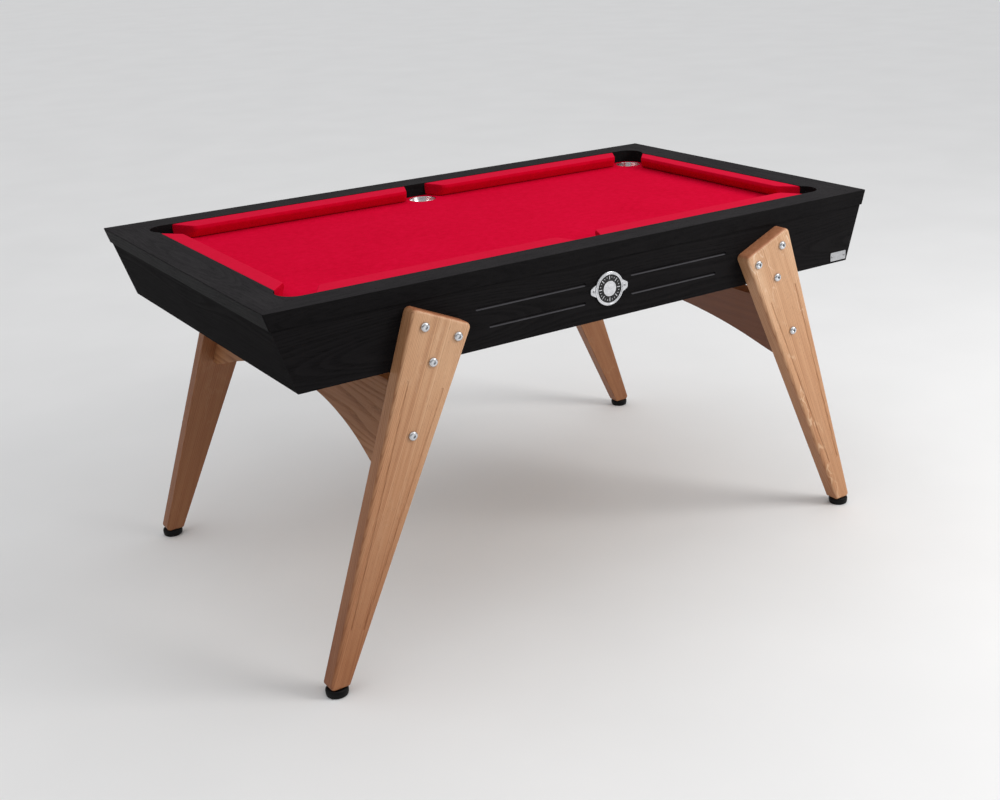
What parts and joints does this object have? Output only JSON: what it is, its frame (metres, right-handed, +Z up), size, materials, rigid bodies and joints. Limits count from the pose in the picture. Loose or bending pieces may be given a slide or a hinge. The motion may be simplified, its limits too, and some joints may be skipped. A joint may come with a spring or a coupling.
{
  "type": "pool table",
  "caption": "Compact six-pocket pool table: black wood cabinet with sloped ends, red cloth bed and cushions, splayed oak legs with arched end braces and levelling feet.",
  "frame": {"origin": "on the floor under the middle of the table", "axes": "+X along the table towards its right end, +Y across it away from the side with the badge, +Z up"},
  "size_m": [1.5888, 0.99, 0.82],
  "materials": {
    "black_wood": "black stained open-pore wood, satin",
    "oak": "oiled oak, satin",
    "inner_wood": "raw pine, sawn",
    "bed_board": "raw fibreboard",
    "bed_cloth": "napped woollen playing cloth",
    "cushion_cloth": "playing cloth stretched over rubber",
    "liner_steel": "polished",
    "cup_plastic": "matte, moulded",
    "bolt_steel": "bright zinc, polished",
    "zinc_steel": "zinc plated",
    "badge_metal": "cast, satin",
    "badge_enamel": "gloss enamel",
    "plate_metal": "satin",
    "foot_plastic": "matte, moulded"
  },
  "bodies": {
    "table": {"rail_front": "black_wood", "rail_back": "black_wood", "rail_left": "black_wood", "rail_right": "black_wood", "apron_front": "black_wood", "apron_back": "black_wood", "apron_left": "black_wood", "apron_right": "black_wood", "corner_blocks": "inner_wood", "leg_blocks": "inner_wood", "bed_beam_left": "inner_wood", "bed_beam_right": "inner_wood", "end_cleat_left": "inner_wood", "end_cleat_right": "inner_wood", "bed_board": "bed_board", "bed_cloth": "bed_cloth", "rail_screws": "zinc_steel", "pocket_rings": "liner_steel", "cushion_back_right": "cushion_cloth", "cushion_back_left": "cushion_cloth", "cushion_front_right": "cushion_cloth", "cushion_front_left": "cushion_cloth", "cushion_left": "cushion_cloth", "cushion_right": "cushion_cloth", "cushion_strips_back": "inner_wood", "cushion_strips_front": "inner_wood", "cushion_strip_left": "inner_wood", "cushion_strip_right": "inner_wood", "leg_front_left": "oak", "leg_front_right": "oak", "leg_back_left": "oak", "leg_back_right": "oak", "brace_left": "oak", "brace_right": "oak", "barrel_nuts": "zinc_steel", "leg_bolts": "bolt_steel", "leg_inserts": "zinc_steel", "foot_sleeves": "zinc_steel", "badge_body": "badge_metal", "badge_inlay": "badge_enamel", "badge_ticks": "badge_metal", "nameplate": "plate_metal", "trim_screws": "bolt_steel", "pocket_cup_front_left": "cup_plastic", "pocket_cup_front_middle": "cup_plastic", "pocket_cup_front_right": "cup_plastic", "pocket_cup_back_left": "cup_plastic", "pocket_cup_back_middle": "cup_plastic", "pocket_cup_back_right": "cup_plastic"},
    "foot_stud_front_left": {"foot_stud_front_left": "zinc_steel"},
    "foot_pad_front_left": {"foot_pad_front_left": "foot_plastic"},
    "foot_stud_front_right": {"foot_stud_front_right": "zinc_steel"},
    "foot_pad_front_right": {"foot_pad_front_right": "foot_plastic"},
    "foot_stud_back_left": {"foot_stud_back_left": "zinc_steel"},
    "foot_pad_back_left": {"foot_pad_back_left": "foot_plastic"},
    "foot_stud_back_right": {"foot_stud_back_right": "zinc_steel"},
    "foot_pad_back_right": {"foot_pad_back_right": "foot_plastic"}
  },
  "joints": [
    {"name": "foot_height_front_left", "type": "slide", "parent": "table", "child": "foot_stud_front_left", "axis": [0, 0, -1], "range_m": [0, 0.012]},
    {"name": "foot_swivel_front_left", "type": "hinge", "parent": "foot_stud_front_left", "child": "foot_pad_front_left", "pos_m": [-0.729, -0.47, 0.0056], "axis": [0, 0, 1], "continuous": true},
    {"name": "foot_height_front_right", "type": "slide", "parent": "table", "child": "foot_stud_front_right", "axis": [0, 0, -1], "range_m": [0, 0.012]},
    {"name": "foot_swivel_front_right", "type": "hinge", "parent": "foot_stud_front_right", "child": "foot_pad_front_right", "pos_m": [0.729, -0.47, 0.0056], "axis": [0, 0, 1], "continuous": true},
    {"name": "foot_height_back_left", "type": "slide", "parent": "table", "child": "foot_stud_back_left", "axis": [0, 0, -1], "range_m": [0, 0.012]},
    {"name": "foot_swivel_back_left", "type": "hinge", "parent": "foot_stud_back_left", "child": "foot_pad_back_left", "pos_m": [-0.729, 0.47, 0.0056], "axis": [0, 0, 1], "continuous": true},
    {"name": "foot_height_back_right", "type": "slide", "parent": "table", "child": "foot_stud_back_right", "axis": [0, 0, -1], "range_m": [0, 0.012]},
    {"name": "foot_swivel_back_right", "type": "hinge", "parent": "foot_stud_back_right", "child": "foot_pad_back_right", "pos_m": [0.729, 0.47, 0.0056], "axis": [0, 0, 1], "continuous": true}
  ]
}
